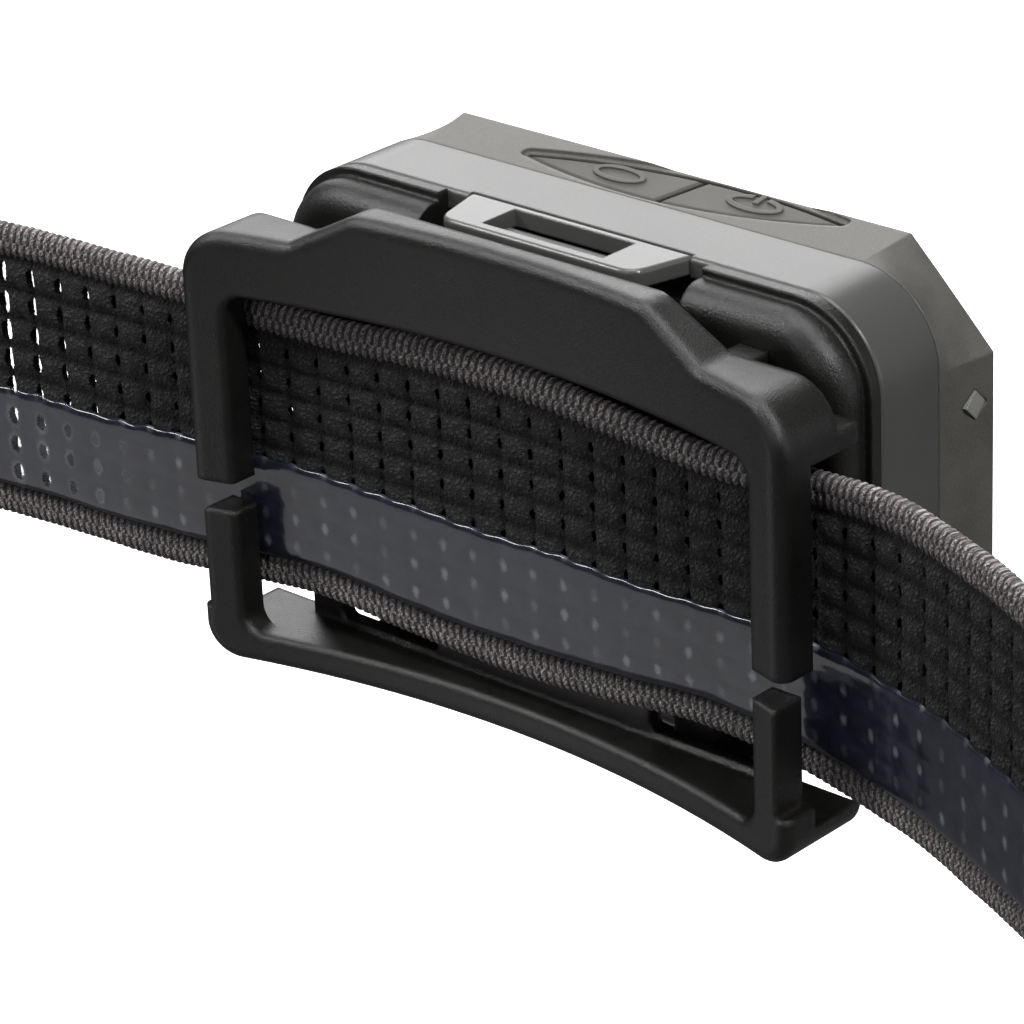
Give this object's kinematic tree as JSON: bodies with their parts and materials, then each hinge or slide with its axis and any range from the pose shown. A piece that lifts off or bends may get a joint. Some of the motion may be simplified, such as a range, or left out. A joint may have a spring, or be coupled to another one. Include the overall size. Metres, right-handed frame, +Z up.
{
  "type": "headlamp",
  "caption": "Headlamp on an elastic knitted headband: a lamp that tilts on a slit forehead bracket, with two top buttons and a latched battery case.",
  "frame": {"origin": "middle of the plane through the rear faces of the bracket's side posts, at the strap's mid-height, where the bracket bears on the forehead", "axes": "+X to the wearer's right, +Y along the beam, +Z up"},
  "size_m": [0.2138, 0.1884, 0.0482],
  "materials": {
    "bracket_plastic": "fine moulded grain",
    "knit_band": "elastic knit with ribbed edges",
    "grip_silicone": "glossy translucent strip",
    "buckle_plastic": "fine moulded grain",
    "case_plastic": "spark textured",
    "battery_plastic": "satin",
    "cell_foil": "foil",
    "socket_metal": "satin",
    "board_green": "solder mask",
    "board_white": "solder mask",
    "seal_rubber": "matte",
    "smoky_plastic": "smoky translucent polycarbonate",
    "housing_plastic": "satin fine grain",
    "inlay_grey": "satin",
    "pin_steel": "turned",
    "contact_gold": "plated",
    "led_phosphor": "phosphor",
    "led_red": "clear tinted",
    "reflector_chrome": "mirror",
    "clear_optic": "polished",
    "red_optic": "polished",
    "clear_lens": "polished",
    "bezel_plastic": "satin",
    "switch_metal": "satin",
    "button_rubber": "matte"
  },
  "bodies": {
    "headband": {"bracket": "bracket_plastic", "tilt_pin": "pin_steel", "detent_spring": "pin_steel", "strap": "knit_band", "grip_strip": "grip_silicone", "strap_ring": "buckle_plastic", "strap_return": "knit_band"},
    "slider": {"slider": "buckle_plastic", "strap_end_loop": "knit_band"},
    "case": {"battery_case": "case_plastic", "door_pin": "pin_steel", "battery_shell": "battery_plastic", "battery_cell": "cell_foil", "charge_socket": "socket_metal", "charge_board": "board_green", "case_seal": "seal_rubber"},
    "front": {"light_frame": "smoky_plastic", "front_housing": "housing_plastic", "side_inlay": "inlay_grey", "bulkhead": "battery_plastic", "housing_screws": "pin_steel", "battery_contacts": "contact_gold", "control_board": "board_green", "light_board": "board_white", "main_led": "led_phosphor", "flood_led": "led_phosphor", "red_led": "led_red", "reflector": "reflector_chrome", "flood_lens": "clear_optic", "red_lens": "red_optic", "bezel": "bezel_plastic", "cover_lens": "clear_lens", "lens_gasket": "seal_rubber", "button_board": "board_green", "tactile_switches": "switch_metal"},
    "latch": {"latch_tab": "smoky_plastic"},
    "main_button": {"main_button": "button_rubber"},
    "mode_button": {"mode_button": "button_rubber"}
  },
  "joints": [
    {"name": "tilt", "type": "hinge", "parent": "headband", "child": "case", "pos_m": [0, 0.0118, -0.0194], "axis": [-1, 0, 0], "range_deg": [0, 60]},
    {"name": "front_open", "type": "hinge", "parent": "case", "child": "front", "pos_m": [0, 0.01475, -0.01845], "axis": [-1, 0, 0], "range_deg": [0, 75]},
    {"name": "latch_flex", "type": "hinge", "parent": "front", "child": "latch", "pos_m": [0, 0.01465, 0.0251], "axis": [-1, 0, 0], "range_deg": [0, 12], "stiffness_Nm_per_rad": 0.05},
    {"name": "main_press", "type": "slide", "parent": "front", "child": "main_button", "axis": [0, 0.1563, -0.9877], "range_m": [0, 0.0006], "stiffness_N_per_m": 800},
    {"name": "mode_press", "type": "slide", "parent": "front", "child": "mode_button", "axis": [0, 0.1563, -0.9877], "range_m": [0, 0.0006], "stiffness_N_per_m": 800},
    {"name": "strap_adjust", "type": "slide", "parent": "headband", "child": "slider", "axis": [1, 0, 0], "range_m": [-0.012, 0.012], "deforming": ["strap_return"]}
  ]
}
